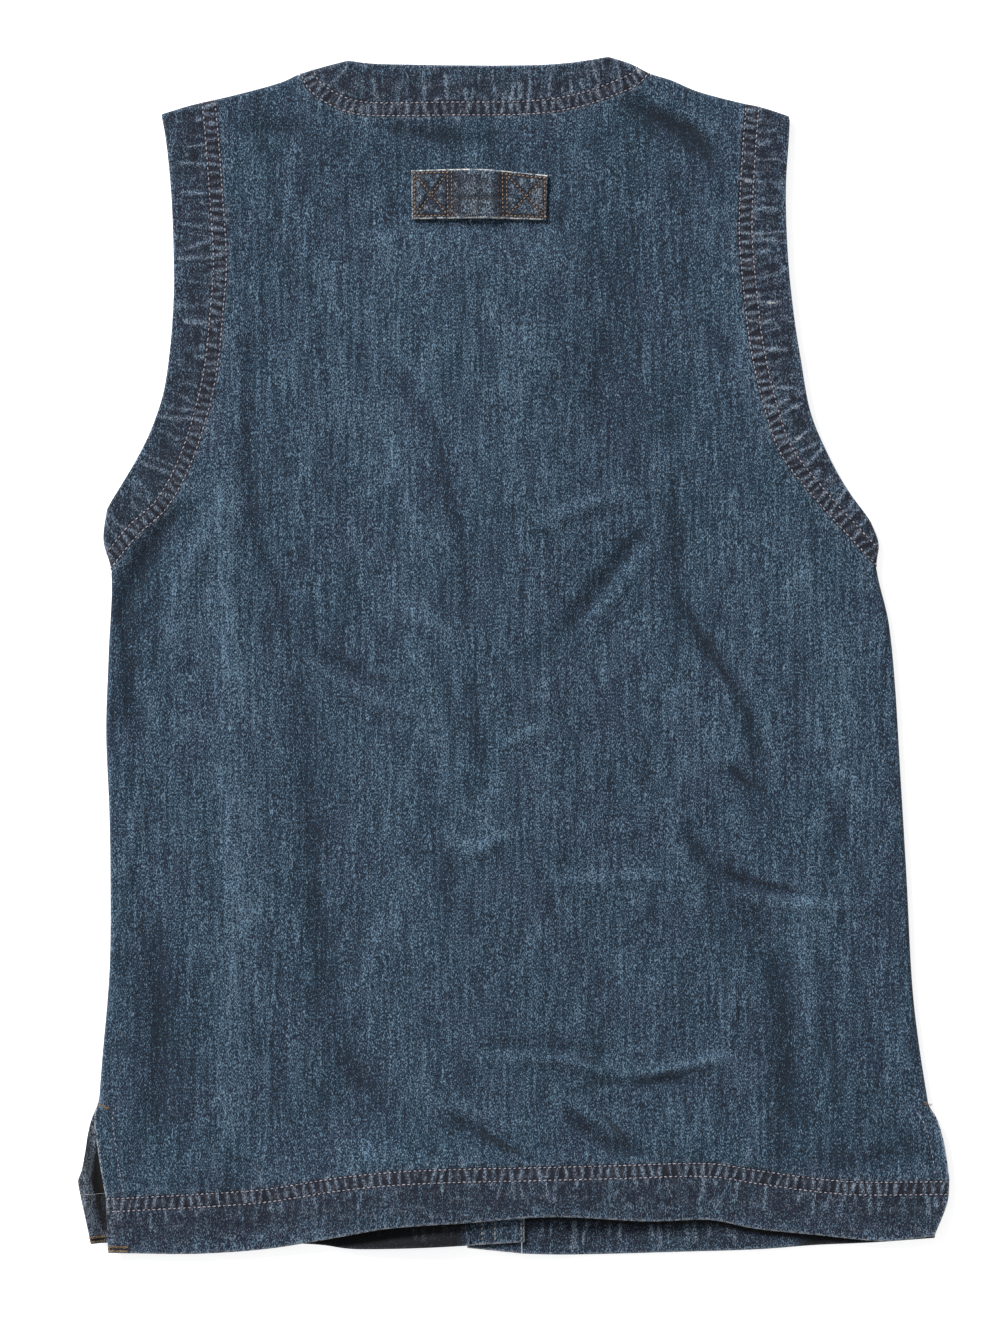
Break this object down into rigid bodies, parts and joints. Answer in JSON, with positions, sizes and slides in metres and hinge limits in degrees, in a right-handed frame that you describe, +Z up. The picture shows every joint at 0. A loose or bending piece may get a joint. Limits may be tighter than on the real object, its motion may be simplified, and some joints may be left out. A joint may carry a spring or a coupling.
{
  "type": "denim vest",
  "caption": "Collarless sleeveless denim vest laid flat face down, back up, with stitched edge bands, side slits and a sewn loop on the back.",
  "frame": {"origin": "middle of the garment's outline, on the surface it lies on", "axes": "+X to the wearer's right as the garment lies face down, +Y up the garment towards the neck, +Z up from the surface through the back"},
  "size_m": [0.5437, 0.7497, 0.0139],
  "materials": {
    "denim_face": "washed mid-blue denim, twill weave, matt",
    "denim_band": "doubled denim edge, darker with rubbed light puckers, matt",
    "denim_front": "washed mid-blue denim, twill weave, matt",
    "denim_tab": "doubled denim with frayed pale edges, matt",
    "button_metal": "plain aged metal"
  },
  "bodies": {
    "root": {"back_panel": "denim_face", "hem_band_back": "denim_band", "armhole_band_left_back": "denim_band", "armhole_band_right_back": "denim_band", "neck_band_back": "denim_band", "back_tab": "denim_tab", "front_panel_left": "denim_front", "front_panel_right": "denim_front", "hem_band_front_left": "denim_front", "hem_band_front_right": "denim_front", "armhole_band_left_front": "denim_band", "armhole_band_right_front": "denim_band", "neck_band_front_left": "denim_band", "neck_band_front_right": "denim_band", "placket_left": "denim_front", "placket_right": "denim_front", "button_1": "button_metal", "button_2": "button_metal", "button_3": "button_metal", "button_4": "button_metal", "button_5": "button_metal", "button_6": "button_metal"}
  },
  "joints": []
}
